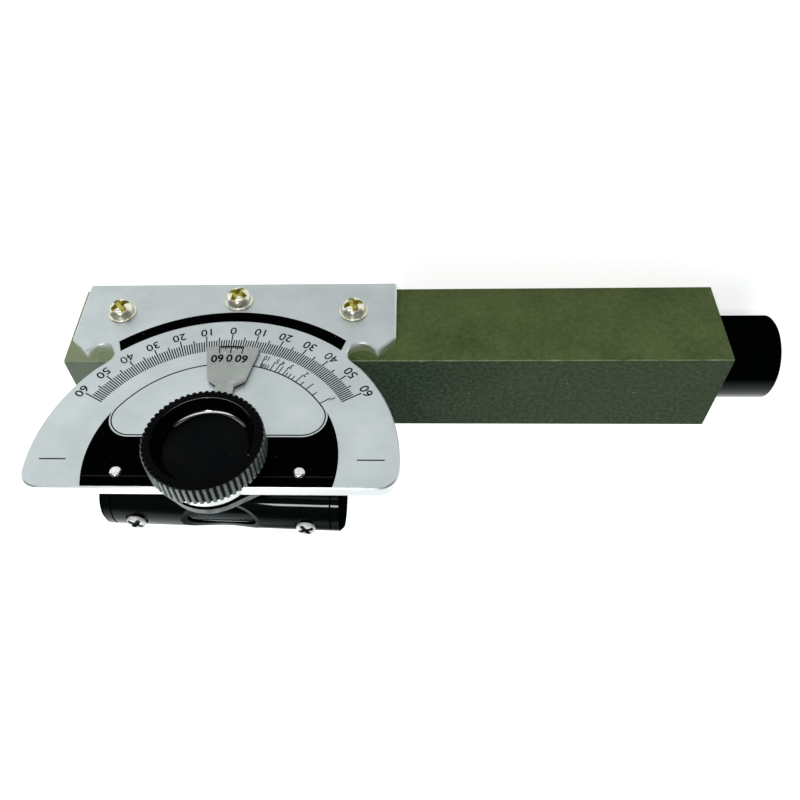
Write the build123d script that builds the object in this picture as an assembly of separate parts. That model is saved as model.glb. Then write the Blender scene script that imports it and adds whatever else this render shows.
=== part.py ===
from build123d import *
import math
import os

# Abney level: a square sighting tube with a scale plate on its side, and a spirit level that
# turns with a knob and an index arm, so that the slope of the line of sight can be read.
# Millimetres, +Z up, +X along the line of sight, with the eyepiece at the -X end.
# The origin is on the underside of the tube, straight below the pivot and midway across.

os.makedirs("parts", exist_ok=True)

# Sighting tube
tube_side = 20.0
tube_wall = 1.2
tube_length = 127.5
tube_ahead = 33.0  # front end, ahead of the pivot
tube_edge_radius = 0.6
slot_length = 19.0  # light slot in the top, under the level
slot_width = 9.0

# Scale plate
plate_thickness = 2.0
pivot_above_tube = 24.32
plate_arc_radius = 32.6
plate_edge_height = 5.8  # straight top edge, above the pivot
plate_corner_radius = 3.8
plate_half_width = 31.6
plate_foot_top = 23.3  # top of the foot, below the pivot
plate_foot_bottom = 43.8
plate_foot_chamfer = 5.2
plate_foot_radius = 0.6
plate_edge_break = 0.25  # bevel round the front face
notch_radius = 2.6
notch_angle = 45.7  # from straight down
notch_bite = 0.15  # how far the notch cuts into the arc
notch_run = 14.0
lobe_radius = 8.2  # round the pivot, above the straight edge

# Screws and stop pins of the scale plate
plate_screw_thread = 3.0
plate_screw_head = 5.6
plate_screw_head_height = 2.4
plate_screw_length = 3.6
side_screw_offset = 23.2
side_screw_margin = 8.2  # above the foot's lower edge
middle_screw_margin = 5.1
plate_screw_turns = (20, 65, 40)  # degrees, how each cross slot stands
pin_shank = 1.6
pin_head = 2.2
pin_head_height = 0.9
pin_offset = 15.7
pin_rise = 2.9

# Pivot: bush, shaft, spring washer
bush_wall = 1.55
bush_proud = 0.25
bush_behind = 0.05
journal_diameter = 6.0
journal_clearance = 0.05
key_diameter = 4.8
key_flats = 3.8
spigot_diameter = 4.4
spigot_length = 3.1
tapped_depth = 4.2
spring_thickness = 0.25
spring_inner_radius = 4.8
spring_outer_radius = 7.3

# Index arm
arm_gap = 0.35  # from the plate to the arm
arm_thickness = 0.8
vernier_radius = 25.7
vernier_half_angle = 11.4
vernier_drop = 17.2  # from the pivot to the corners where the vernier part begins
shoulder_rise = 1.25  # from those corners up to the neck
arm_neck_width = 3.2
arm_hub_radius = 5.2
arm_edge_bevel = 0.3
reading_at_rest = 1.75  # degrees, towards the eyepiece

# Knob
knob_washer_thickness = 0.3
knob_washer_radius = 6.0
knob_radius = 10.35
knob_height = 4.7
knob_boss_radius = 6.4  # on the knob's back, round the shaft
knob_boss_height = 0.5
knob_ridges = 58
knob_groove = 0.4
crest_share = 0.42  # of one ridge and groove
flank_share = 0.18
groove_share = 0.22
knob_rim_bevel = 0.35
dish_mouth_radius = 8.6
dish_floor_radius = 7.8
dish_depth = 2.75
cap_thickness = 0.5
knob_screw_thread = 3.0
knob_screw_head = 5.3
knob_screw_head_height = 1.2
knob_screw_length = 5.0

# Level bracket, behind the plate
bracket_gap = 0.7  # from the plate's back
bracket_thickness = 1.3
bracket_radius = 8.4
bracket_wing_offset = 12.0
bracket_wing_radius = 2.0
rail_length = 24.0
rail_height = 4.4
solder_gap = 0.05

# Spirit level
level_offset = 0.6  # its middle stands behind the pivot
housing_radius = 5.5
housing_wall = 0.55
housing_half_length = 19.8
scallop_radius = 15.0
scallop_height = 3.6  # lowest point of the window's edge, above the level's axis
end_cap_length = 2.2
end_cap_bevel = 0.7
end_cap_spigot = 2.0
seam_bevel = 0.15
vial_radius = 4.55
vial_half_length = 13.5
vial_wall = 0.75
vial_barrel_rise = 0.12
vial_end_bevel = 0.9
vial_closure = 2.2
bubble_length = 8.0
bubble_width = 4.4
bubble_depth = 1.5
seat_overlap = 1.8  # how far a seat reaches over the vial
seat_end_gap = 0.1
adjuster_inset = 4.35  # from the housing's end
adjuster_thread = 2.0
adjuster_head = 3.5
adjuster_head_height = 1.5
adjuster_length = 3.8
adjuster_hole = 4.0
adjuster_turns = (25, 55)  # degrees

# Sight: cross wire, mirror, eyepiece
objective_setback = 1.0
objective_depth = 3.0
objective_opening = 14.0
objective_corner = 1.0
wire_diameter = 0.3
wire_inset = 0.5
wire_seat = 0.7
mirror_thickness = 1.2
mirror_rise = 14.0
mirror_side_gap = 0.2
mirror_block_drop = 0.8
mirror_screw_thread = 2.5
mirror_screw_head = 4.4
mirror_screw_head_height = 1.0
mirror_screw_length = 5.0
sleeve_plate_depth = 1.5
sleeve_length = 20.0
sleeve_inner_radius = 7.3
draw_clearance = 0.05
draw_wall = 0.7
draw_inner_length = 45.0
head_radius = 8.25
head_length = 11.15
head_gap = 0.1  # from the tube's end when closed
head_rim_bevel = 0.3
eye_disc_thickness = 1.2
eye_disc_setback = 0.6
peephole_diameter = 2.5
lens_cell_length = 5.0
lens_cell_wall = 0.7
lens_flange_thickness = 1.0
lens_flange_gap = 0.2
lens_thickness = 2.2
lens_curve_radius = 18.0

# Fits
slip_gap = 0.05  # between pieces of one assembly that slide together
thread_gap = 0.02
screw_hole_gap = 0.1
cross_slot_share = 0.16  # width of a cross slot, as a share of its head
cross_reach_share = 0.3  # from the middle to a slot's end, as a share of the head
head_bevel_share = 0.45  # of a pan head's height
recess_share = 0.6  # of a head's height

# Places worked out from the sizes above
half_side = tube_side / 2
cavity_half = half_side - tube_wall
tube_back = tube_ahead - tube_length
pivot_height = tube_side + pivot_above_tube
plate_front = -(half_side + plate_thickness)
level_depth = plate_thickness + half_side
bracket_front = -(plate_thickness + bracket_gap)
bracket_back = bracket_front - bracket_thickness
arm_front = arm_gap + arm_thickness
knob_back = arm_front + knob_washer_thickness + slip_gap
knob_front = knob_back + knob_height
dish_floor = knob_front - dish_depth
cap_back = dish_floor - cap_thickness
journal_radius = journal_diameter / 2
bush_bore = journal_radius + journal_clearance
bush_radius = bush_bore + bush_wall
housing_bore = housing_radius - housing_wall
seat_radius = housing_bore - slip_gap
seat_start = vial_half_length - seat_overlap
seat_end = housing_half_length - end_cap_spigot - seat_end_gap
adjuster_offset = housing_half_length - adjuster_inset
tube_middle = half_side
draw_radius = sleeve_inner_radius - draw_clearance
draw_bore = draw_radius - draw_wall
draw_back = tube_back - head_gap - head_length
draw_front = tube_back + draw_inner_length

# The pivot's own frame: X ahead, Y up, Z out of the plate's front face, from the pivot
pivot_frame = Plane(origin=(0, plate_front, pivot_height), x_dir=(1, 0, 0), z_dir=(0, -1, 0)).location
arm_frame = pivot_frame * Rot(0, 0, -reading_at_rest)
# Along the tube's middle line, with Z ahead
sight_frame = Plane(origin=(0, 0, tube_middle), x_dir=(0, 1, 0), z_dir=(1, 0, 0)).location
# The level's middle in the pivot's frame, and along the level's axis, with Z ahead
level_place = Pos(-level_offset, 0, -level_depth)
level_frame = level_place * Plane(origin=(0, 0, 0), x_dir=(0, 1, 0), z_dir=(1, 0, 0)).location

side_screw_drop = plate_foot_bottom - side_screw_margin
plate_screw_places = [
    (-side_screw_offset, -side_screw_drop),
    (0, middle_screw_margin - plate_foot_bottom),
    (side_screw_offset, -side_screw_drop),
]
pin_places = [(-pin_offset, pin_rise), (pin_offset, pin_rise)]


def rod(radius, low, high):
    """A solid cylinder along Z from low to high."""
    return Pos(0, 0, low) * Cylinder(radius, high - low, align=(Align.CENTER, Align.CENTER, Align.MIN))


def ring(outer, inner, low, high):
    return rod(outer, low, high) - rod(inner, low - 1, high + 1)


def bar(x_low, x_high, y_low, y_high, z_low, z_high):
    """A box given by its limits."""
    size = (x_high - x_low, y_high - y_low, z_high - z_low)
    return Pos(x_low, y_low, z_low) * Box(*size, align=(Align.MIN, Align.MIN, Align.MIN))


def cross_recess(head_diameter, depth):
    """Two crossed slots that sink from Z = 0."""
    arm = head_diameter * cross_reach_share
    half = head_diameter * cross_slot_share / 2
    one = bar(-arm, arm, -half, half, -depth, depth)
    return one + Rot(0, 0, 90) * one


def pan_screw(thread, length, head, head_height):
    """A screw along Z with its head above Z = 0 and its thread below."""
    top = rod(head / 2, 0, head_height)
    top = chamfer(top.edges().sort_by(Axis.Z)[-1], head_height * head_bevel_share)
    top = top - Pos(0, 0, head_height) * cross_recess(head, head_height * recess_share)
    return top + rod(thread / 2 - thread_gap, -length, 0.1)


def countersunk_screw(thread, length, head, head_height):
    """A screw along Z whose flat head lies below Z = 0."""
    cone = Pos(0, 0, -head_height / 2) * Cone(thread / 2 - thread_gap, head / 2, head_height)
    screw = cone + rod(thread / 2 - thread_gap, -length, -head_height / 2)
    return screw - cross_recess(head, head_height * recess_share)


def countersink(thread, head, head_height, reach):
    """The hole for such a screw, reach deep in all."""
    gap = slip_gap
    cone = Pos(0, 0, -head_height / 2) * Cone(thread / 2 + gap, head / 2 + gap, head_height)
    mouth = rod(head / 2 + gap, -0.001, 1)
    return cone + mouth + rod(thread / 2 + gap, -reach, -head_height / 2)


def make_sighting_tube():
    outer = bar(tube_back, tube_ahead, -half_side, half_side, 0, tube_side)
    outer = fillet(outer.edges().filter_by(Axis.X), tube_edge_radius)
    ceiling = tube_side - tube_wall
    hollow = bar(tube_back - 1, tube_ahead + 1, -cavity_half, cavity_half, tube_wall, ceiling)
    tube = outer - hollow
    slot = extrude(SlotOverall(slot_length, slot_width), 2 * tube_wall)
    tube = tube - Pos(0, 0, tube_side - 1.5 * tube_wall) * slot
    for x, y in plate_screw_places:
        hole = rod(plate_screw_thread / 2, -plate_thickness - 2 * tube_wall, -plate_thickness + 1)
        tube = tube - pivot_frame * Pos(x, y, 0) * hole
    return tube - mirror_screw_frame() * countersink(
        mirror_screw_thread, mirror_screw_head, mirror_screw_head_height, 2 * tube_wall
    )


def plate_outline():
    dial = Circle(plate_arc_radius) & Pos(0, plate_edge_height) * Rectangle(
        4 * plate_arc_radius, 4 * plate_arc_radius, align=(Align.CENTER, Align.MAX)
    )
    dial = fillet(dial.vertices().group_by(Axis.Y)[-1], plate_corner_radius)
    foot_height = plate_foot_bottom - plate_foot_top
    foot = Rectangle(2 * plate_half_width, foot_height, align=(Align.CENTER, Align.MAX))
    foot = chamfer(foot.vertices().group_by(Axis.Y)[-1], plate_foot_chamfer)
    foot = fillet(foot.vertices().group_by(Axis.Y)[0], plate_foot_radius)
    outline = dial + Pos(0, -plate_foot_top) * foot + Circle(lobe_radius)
    reach = plate_arc_radius + notch_radius - notch_bite
    turn = math.radians(notch_angle)
    for side in (-1, 1):
        centre = Pos(side * reach * math.sin(turn), -reach * math.cos(turn))
        open_end = Rot(0, 0, 45 if side > 0 else 135)
        slot = Circle(notch_radius) + open_end * Rectangle(
            notch_run, 2 * notch_radius, align=(Align.MIN, Align.CENTER)
        )
        outline = outline - centre * slot
    return outline


def make_scale_plate():
    outline = plate_outline()
    plate = extrude(outline, plate_edge_break - plate_thickness)
    plate = plate + extrude(outline, plate_edge_break, taper=45)
    plate = Pos(0, 0, -plate_edge_break) * plate
    plate = plate - rod(bush_radius, -plate_thickness - 1, 1)
    for x, y in plate_screw_places:
        plate = plate - Pos(x, y) * rod(plate_screw_thread / 2 + screw_hole_gap, -plate_thickness - 1, 1)
    for x, y in pin_places:
        plate = plate - Pos(x, y) * rod(pin_shank / 2 + thread_gap, -plate_thickness - 1, 1)
    return pivot_frame * plate


def make_plate_screws():
    head = plate_screw_head
    screw = pan_screw(plate_screw_thread, plate_screw_length, head, plate_screw_head_height)
    screws = []
    for (x, y), turn in zip(plate_screw_places, plate_screw_turns):
        screws.append(pivot_frame * Pos(x, y) * Rot(0, 0, turn) * screw)
    return screws


def make_stop_pins():
    """Two pins that stop the index arm a little short of 90 degrees."""
    head = rod(pin_head / 2, 0, pin_head_height)
    head = chamfer(head.edges().sort_by(Axis.Z)[-1], pin_head_height * head_bevel_share)
    pin = head + rod(pin_shank / 2, -plate_thickness, 0.1)
    return [pivot_frame * Pos(x, y) * pin for x, y in pin_places]


def make_spring_washer():
    """A dished washer between the plate and the bracket, which keeps the arm where it is set."""
    front = -plate_thickness - slip_gap
    back = bracket_front + slip_gap
    section = Polyline(
        (spring_inner_radius, back),
        (spring_outer_radius, front - spring_thickness),
        (spring_outer_radius, front),
        (spring_inner_radius, back + spring_thickness),
        close=True,
    )
    return arm_frame * revolve(Plane.XZ * make_face(section), Axis.Z)


def make_pivot_bush():
    bush = ring(bush_radius, bush_bore, -plate_thickness - bush_behind, bush_proud)
    return pivot_frame * bush


def make_pivot_shaft():
    key = rod(key_diameter / 2, arm_gap - 0.1, knob_back - slip_gap)
    key = key & bar(-key_diameter, key_diameter, -key_flats / 2, key_flats / 2, -1, knob_front)
    shaft = rod(journal_radius, bracket_front, arm_gap) + key
    shaft = shaft + rod(spigot_diameter / 2, bracket_front - spigot_length, bracket_front)
    bore = rod(knob_screw_thread / 2, knob_back - tapped_depth, knob_front)
    return arm_frame * (shaft - bore)


def arm_outline():
    slope = math.tan(math.radians(vernier_half_angle))
    drop = vernier_radius + arm_neck_width
    right = (
        (arm_neck_width / 2, shoulder_rise - vernier_drop),
        (slope * vernier_drop, -vernier_drop),
        (slope * drop, -drop),
    )
    left = [(-x, y) for x, y in reversed(right)]
    vernier = make_face(Polyline(*right, *left, close=True)) & Circle(vernier_radius)
    neck = Rectangle(arm_neck_width, vernier_drop, align=(Align.CENTER, Align.MAX))
    return vernier + neck + Circle(arm_hub_radius)


def make_index_arm():
    arm = extrude(arm_outline(), arm_thickness)
    edge = arm.edges().filter_by(GeomType.CIRCLE).group_by(Axis.Z)[-1].sort_by(Axis.Y)[0]
    arm = chamfer(edge, arm_edge_bevel)
    key = Circle(key_diameter / 2 + slip_gap) & Rectangle(2 * key_diameter, key_flats + 2 * slip_gap)
    return arm_frame * Pos(0, 0, arm_gap) * (arm - extrude(key, 2 * arm_thickness, both=True))


def make_knob_washer():
    front = arm_front + knob_washer_thickness
    return arm_frame * ring(knob_washer_radius, key_diameter / 2 + slip_gap, arm_front, front)


def knurled_outline():
    """Straight knurling: each ridge has a flat crest and each groove a flat floor."""
    floor_radius = knob_radius - knob_groove
    floor_start = crest_share + flank_share
    corners = (
        (0, knob_radius),
        (crest_share, knob_radius),
        (floor_start, floor_radius),
        (floor_start + groove_share, floor_radius),
    )
    points = []
    for ridge in range(knob_ridges):
        for share, radius in corners:
            turn = (ridge + share) * 2 * math.pi / knob_ridges
            points.append((radius * math.cos(turn), radius * math.sin(turn)))
    return make_face(Polyline(*points, close=True))


def make_knob():
    bevel = knob_rim_bevel
    rim_back = knob_back + knob_boss_height
    blank = Polyline(
        (0, knob_back),
        (knob_boss_radius, knob_back),
        (knob_boss_radius, rim_back),
        (knob_radius - bevel, rim_back),
        (knob_radius + slip_gap, rim_back + bevel),
        (knob_radius + slip_gap, knob_front - bevel),
        (knob_radius - bevel, knob_front),
        (dish_mouth_radius, knob_front),
        (dish_floor_radius, dish_floor),
        (dish_floor_radius, cap_back),
        (0, cap_back),
        close=True,
    )
    blank = revolve(Plane.XZ * make_face(blank), Axis.Z)
    knurl = Pos(0, 0, knob_back) * extrude(knurled_outline(), knob_height)
    hole = countersink(knob_screw_thread, knob_screw_head, knob_screw_head_height, knob_height)
    return arm_frame * ((blank & knurl) - Pos(0, 0, cap_back) * hole)


def make_knob_cap():
    return arm_frame * rod(dish_floor_radius - slip_gap, cap_back + slip_gap, dish_floor)


def make_knob_screw():
    head = knob_screw_head
    screw = countersunk_screw(knob_screw_thread, knob_screw_length, head, knob_screw_head_height)
    return arm_frame * Pos(0, 0, cap_back - slip_gap) * screw


def make_level_bracket():
    """A flat plate with a round nose and two wings, on a rail that is soldered to the housing."""
    nose = Circle(bracket_radius).edges()
    wings = [Pos(side * bracket_wing_offset, 0) * Circle(bracket_wing_radius) for side in (-1, 1)]
    outline = make_hull(nose + wings[0].edges() + wings[1].edges())
    bracket = Pos(0, 0, bracket_back) * extrude(outline, bracket_thickness)
    half_length = rail_length / 2
    half_height = rail_height / 2
    rail = bar(-half_length, half_length, -half_height, half_height, -level_depth, bracket_back)
    saddle = level_frame * rod(housing_radius + solder_gap, -rail_length, rail_length)
    hole_floor = bracket_front - spigot_length - slip_gap
    spigot_hole = rod(spigot_diameter / 2 + thread_gap, hole_floor, bracket_front + 1)
    return arm_frame * (bracket + (rail - saddle) - spigot_hole)


def make_level_housing():
    length = housing_half_length
    shell = ring(housing_radius, housing_bore, -length, length)
    shell = level_frame * chamfer(outer_rims(shell, housing_bore), seam_bevel)
    scallop = rod(scallop_radius, -2 * housing_radius, 2 * housing_radius)
    screw_hole = upright(rod(adjuster_hole / 2, 0, 2 * housing_radius))
    for side in (-1, 1):
        shell = shell - level_place * Pos(0, side * (scallop_height + scallop_radius), 0) * scallop
        shell = shell - level_place * Pos(side * adjuster_offset, 0, 0) * screw_hole
    return arm_frame * shell


def outer_rims(shape, bore_radius):
    """The round edges of a ring that aren't its bore's."""
    rims = shape.edges().filter_by(GeomType.CIRCLE)
    return rims.filter_by(lambda edge: edge.radius > bore_radius + slip_gap)


def upright(shape):
    """Turns a piece from along Z to along the pivot frame's Y."""
    return Rot(-90, 0, 0) * shape


def make_end_cap(side):
    length = housing_half_length
    cap = rod(housing_radius, length, length + end_cap_length)
    cap = chamfer(cap.edges().filter_by(GeomType.CIRCLE).sort_by(Axis.Z)[-1], end_cap_bevel)
    cap = chamfer(cap.edges().filter_by(GeomType.CIRCLE).sort_by(Axis.Z)[0], seam_bevel)
    cap = cap + rod(housing_bore - slip_gap, length - end_cap_spigot, length + 0.1)
    return arm_frame * level_frame * (cap if side > 0 else Rot(180, 0, 0) * cap)


def vial_hollow(gap):
    """The vial's inside: ground a little fuller in the middle, so that the bubble rests there."""
    middle = vial_radius - vial_wall - gap
    end = middle - vial_barrel_rise
    tip = vial_half_length - vial_closure - gap
    shoulder = tip - vial_end_bevel
    sides = ThreePointArc((end, -shoulder), (middle, 0), (end, shoulder))
    ends = Polyline(
        (end, shoulder),
        (end - vial_end_bevel, tip),
        (0, tip),
        (0, -tip),
        (end - vial_end_bevel, -tip),
        (end, -shoulder),
    )
    return revolve(Plane.XZ * make_face(sides + ends), Axis.Z)


def make_level_vial():
    glass = rod(vial_radius, -vial_half_length, vial_half_length)
    glass = chamfer(glass.edges().filter_by(GeomType.CIRCLE), vial_end_bevel)
    return arm_frame * level_frame * (glass - vial_hollow(0))


def make_level_spirit():
    spirit = vial_hollow(slip_gap)
    top = vial_radius - vial_wall - slip_gap
    bubble = scale(Sphere(1), by=(bubble_depth, bubble_width / 2, bubble_length / 2))
    return arm_frame * level_frame * (spirit - Pos(top, 0, 0) * bubble)


def make_vial_seat(side):
    seat = rod(seat_radius, seat_start, seat_end)
    seat = seat - rod(vial_radius + slip_gap, seat_start - 1, vial_half_length + slip_gap)
    seat = seat if side > 0 else Rot(180, 0, 0) * seat
    hole = upright(rod(adjuster_thread / 2, 0, 2 * housing_radius))
    hole = level_place * Pos(side * adjuster_offset, seat_radius - adjuster_length, 0) * hole
    return arm_frame * (level_frame * seat - hole)


def make_adjusting_screws():
    screw = upright(pan_screw(adjuster_thread, adjuster_length, adjuster_head, adjuster_head_height))
    seat = seat_radius + slip_gap
    screws = []
    for side, turn in zip((-1, 1), adjuster_turns):
        place = level_place * Pos(side * adjuster_offset, seat, 0) * Rot(0, turn, 0)
        screws.append(arm_frame * place * screw)
    return screws


def make_objective_frame():
    outer = 2 * (cavity_half - slip_gap)
    low = tube_ahead - objective_setback - objective_depth
    opening = RectangleRounded(objective_opening, objective_opening, objective_corner)
    face = Rectangle(outer, outer) - opening
    frame = extrude(face, objective_depth)
    wire_hole = Rot(0, 90, 0) * Cylinder(wire_diameter / 2 + slip_gap, objective_opening + 2 * wire_seat)
    return sight_frame * Pos(0, 0, low) * (frame - Pos(0, 0, wire_inset) * wire_hole)


def make_cross_wire():
    low = tube_ahead - objective_setback - objective_depth
    wire = Rot(0, 90, 0) * Cylinder(wire_diameter / 2, objective_opening + 2 * wire_seat - 2 * slip_gap)
    return sight_frame * Pos(0, 0, low + wire_inset) * wire


def mirror_slope(low, high):
    """A slab at 45 degrees that faces up and back, from low to high along its face's normal."""
    long = mirror_rise * math.sqrt(2)
    wall_side = cavity_half - mirror_side_gap
    slab = bar(-long / 2, long / 2, mirror_side_gap, wall_side, low, high)
    return Pos(0, 0, tube_middle - mirror_block_drop) * Rot(0, -45, 0) * slab


def make_mirror():
    return mirror_slope(-mirror_thickness, 0)


def make_mirror_block():
    floor = tube_wall
    half = mirror_rise / 2
    centre = tube_middle - mirror_block_drop
    back = mirror_thickness * math.sqrt(2)
    foot = centre - half - floor
    side = make_face(
        Polyline(
            (-half - foot + back, floor),
            (half, floor),
            (half, centre + half - back),
            close=True,
        )
    )
    width = cavity_half - 2 * mirror_side_gap
    block = Pos(0, cavity_half - mirror_side_gap, 0) * extrude(Plane.XZ * side, width)
    hole = rod(mirror_screw_thread / 2, -mirror_screw_length - tube_wall, 1)
    return block - mirror_screw_frame() * hole


def mirror_screw_frame():
    """Under the mirror block, with Z pointing down out of the tube."""
    place = (mirror_rise / 4, cavity_half / 2, 0)
    return Plane(origin=place, x_dir=(1, 0, 0), z_dir=(0, 0, -1)).location


def make_mirror_screw():
    head = mirror_screw_head
    screw = countersunk_screw(mirror_screw_thread, mirror_screw_length, head, mirror_screw_head_height)
    return mirror_screw_frame() * Pos(0, 0, -slip_gap) * screw


def make_draw_sleeve():
    """A square plate that closes the tube's back end, with a round sleeve for the draw tube."""
    outer = 2 * (cavity_half - slip_gap)
    plate = extrude(Rectangle(outer, outer), sleeve_plate_depth)
    sleeve = plate + rod(cavity_half - slip_gap, 0, sleeve_length)
    sleeve = sleeve - rod(sleeve_inner_radius, -1, sleeve_length + 1)
    return sight_frame * Pos(0, 0, tube_back) * sleeve


def make_draw_tube():
    return sight_frame * ring(draw_radius, draw_bore, draw_back, draw_front)


def make_eyepiece_head():
    head = ring(head_radius, draw_radius + thread_gap, draw_back, draw_back + head_length)
    return sight_frame * chamfer(outer_rims(head, draw_radius + thread_gap), head_rim_bevel)


def make_eye_disc():
    low = draw_back + eye_disc_setback
    return sight_frame * ring(draw_bore - slip_gap, peephole_diameter / 2, low, low + eye_disc_thickness)


def make_lens_cell():
    outer = draw_bore - slip_gap
    inner = outer - lens_cell_wall
    cell = ring(outer, inner, draw_front - lens_cell_length, draw_front)
    flange = ring(cavity_half - lens_flange_gap, inner, draw_front, draw_front + lens_flange_thickness)
    return sight_frame * (cell + flange)


def make_bubble_lens():
    """Half of a lens, flat towards the mirror, which shows the bubble over half of the field."""
    radius = draw_bore - lens_cell_wall - 2 * slip_gap
    back = draw_front - lens_thickness
    dome = Pos(0, 0, back + lens_curve_radius) * Sphere(lens_curve_radius)
    lens = rod(radius, back - 1, draw_front) & dome
    half = bar(mirror_side_gap, 2 * radius, -2 * radius, 2 * radius, back - 1, draw_front + 1)
    return sight_frame * (lens & half)


pieces = {
    "sighting_tube": make_sighting_tube(),
    "scale_plate": make_scale_plate(),
    "plate_screws": make_plate_screws(),
    "stop_pins": make_stop_pins(),
    "pivot_bush": make_pivot_bush(),
    "objective_frame": make_objective_frame(),
    "cross_wire": make_cross_wire(),
    "mirror": make_mirror(),
    "mirror_block": make_mirror_block(),
    "mirror_screw": make_mirror_screw(),
    "draw_sleeve": make_draw_sleeve(),
    "draw_tube": make_draw_tube(),
    "eyepiece_head": make_eyepiece_head(),
    "eye_disc": make_eye_disc(),
    "lens_cell": make_lens_cell(),
    "bubble_lens": make_bubble_lens(),
    "pivot_shaft": make_pivot_shaft(),
    "spring_washer": make_spring_washer(),
    "index_arm": make_index_arm(),
    "knob_washer": make_knob_washer(),
    "knob": make_knob(),
    "knob_cap": make_knob_cap(),
    "knob_screw": make_knob_screw(),
    "level_bracket": make_level_bracket(),
    "level_housing": make_level_housing(),
    "front_end_cap": make_end_cap(1),
    "rear_end_cap": make_end_cap(-1),
    "level_vial": make_level_vial(),
    "level_spirit": make_level_spirit(),
    "front_vial_seat": make_vial_seat(1),
    "rear_vial_seat": make_vial_seat(-1),
    "adjusting_screws": make_adjusting_screws(),
}

for name, piece in pieces.items():
    shape = Compound(children=piece) if isinstance(piece, list) else piece
    export_step(shape, f"parts/{name}.step")
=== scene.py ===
import math

import bmesh
import bpy
import numpy as np
from mathutils import Matrix, Vector


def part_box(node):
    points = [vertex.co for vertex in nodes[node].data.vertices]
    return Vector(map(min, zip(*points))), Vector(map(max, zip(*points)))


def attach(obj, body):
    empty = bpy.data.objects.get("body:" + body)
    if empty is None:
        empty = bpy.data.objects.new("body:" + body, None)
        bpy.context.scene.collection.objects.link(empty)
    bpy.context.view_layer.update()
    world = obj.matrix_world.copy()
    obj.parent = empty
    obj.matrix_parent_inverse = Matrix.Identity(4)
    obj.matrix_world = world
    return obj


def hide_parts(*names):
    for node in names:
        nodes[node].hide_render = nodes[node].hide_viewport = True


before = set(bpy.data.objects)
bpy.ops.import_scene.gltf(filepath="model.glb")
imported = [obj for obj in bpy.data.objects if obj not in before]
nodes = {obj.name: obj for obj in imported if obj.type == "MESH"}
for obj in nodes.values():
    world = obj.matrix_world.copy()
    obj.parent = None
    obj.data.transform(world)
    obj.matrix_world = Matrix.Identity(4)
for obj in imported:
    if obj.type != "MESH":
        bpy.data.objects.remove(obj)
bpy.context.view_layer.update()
mm = 0.001

# The pivot is where the dial's measures start: x ahead, y up and z out of the plate's face, in mm
bushLow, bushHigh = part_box("pivot_bush")
plateLow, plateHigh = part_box("scale_plate")
pivot = dict(
    x=(bushLow[0] + bushHigh[0]) / 2,
    y=plateLow[1],
    z=(bushLow[2] + bushHigh[2]) / 2,
    restReading=1.75,  # degrees, how far the arm stands towards the eyepiece
)


def toWorld(points, onArm=False):
    # Formula: world = pivot + (x, -z, y); a point on the arm is first turned by the reading at rest
    points = np.asarray(points, dtype=float)
    x, y, z = points[..., 0], points[..., 1], points[..., 2]
    if onArm:
        turn = math.radians(pivot["restReading"])
        x, y = x * math.cos(turn) + y * math.sin(turn), y * math.cos(turn) - x * math.sin(turn)
    world = np.stack([x * mm + pivot["x"], pivot["y"] - z * mm, y * mm + pivot["z"]], axis=-1)
    return world.reshape(-1, 3)


def linear(hexColour):
    # Formula: the sRGB curve undone for each of red, green and blue
    parts = [int(hexColour[i:i + 2], 16) / 255 for i in (1, 3, 5)]
    return tuple([p / 12.92 if p <= 0.04045 else ((p + 0.055) / 1.055) ** 2.4 for p in parts] + [1.0])


# Meshes

def addPiece(
    name, points, faces, materials, body, replaced=(), smooth=True, angle=35, finish=None
):
    # finish gives each face its place in the list of materials
    mesh = bpy.data.meshes.new(name)
    mesh.from_pydata(np.asarray(points).tolist(), [], [list(map(int, face)) for face in faces])
    if finish is not None:
        mesh.polygons.foreach_set("material_index", np.asarray(finish, dtype=np.int32))
    work = bmesh.new()
    work.from_mesh(mesh)
    bmesh.ops.remove_doubles(work, verts=work.verts, dist=0.0008 * mm)
    bmesh.ops.dissolve_degenerate(work, edges=work.edges, dist=0.0004 * mm)
    bmesh.ops.recalc_face_normals(work, faces=work.faces)
    work.to_mesh(mesh)
    work.free()
    mesh.polygons.foreach_set("use_smooth", np.full(len(mesh.polygons), smooth))
    if smooth:
        mesh.set_sharp_from_angle(angle=math.radians(angle))
    for material in materials if isinstance(materials, list) else [materials]:
        mesh.materials.append(material)
    piece = bpy.data.objects.new(name, mesh)
    bpy.context.collection.objects.link(piece)
    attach(piece, body)
    if replaced:
        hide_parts(*replaced)


def gridFaces(rows, columns, closeRows=False, closeColumns=False):
    # Formula: point (i, j) has index i * columns + j, and each cell joins four neighbours
    i = np.arange(rows if closeRows else rows - 1)
    j = np.arange(columns if closeColumns else columns - 1)
    i, j = np.meshgrid(i, j, indexing="ij")
    ahead, beside = (i + 1) % rows, (j + 1) % columns
    quads = np.stack(
        [i * columns + j, i * columns + beside, ahead * columns + beside, ahead * columns + j], axis=-1
    )
    return quads.reshape(-1, 4)


def turned(profile, steps, onArm=False, swell=None, place=None):
    # Formula: point = (r cos a, r sin a, z) for each profile point (r, z) and each angle a;
    # swell(a, r, z) gives the changed radius and height, and place(points) moves the piece
    angle = np.arange(steps) * 2 * math.pi / steps
    radius, height = np.asarray(profile, dtype=float).T
    r, a = np.meshgrid(radius, angle, indexing="ij")
    z = np.repeat(height[:, None], steps, axis=1)
    if swell:
        r, z = swell(a, r, z)
    points = np.stack([r * np.cos(a), r * np.sin(a), z], axis=-1)
    if place:
        points = place(points)
    return toWorld(points, onArm), gridFaces(len(radius), steps, closeColumns=True)


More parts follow.
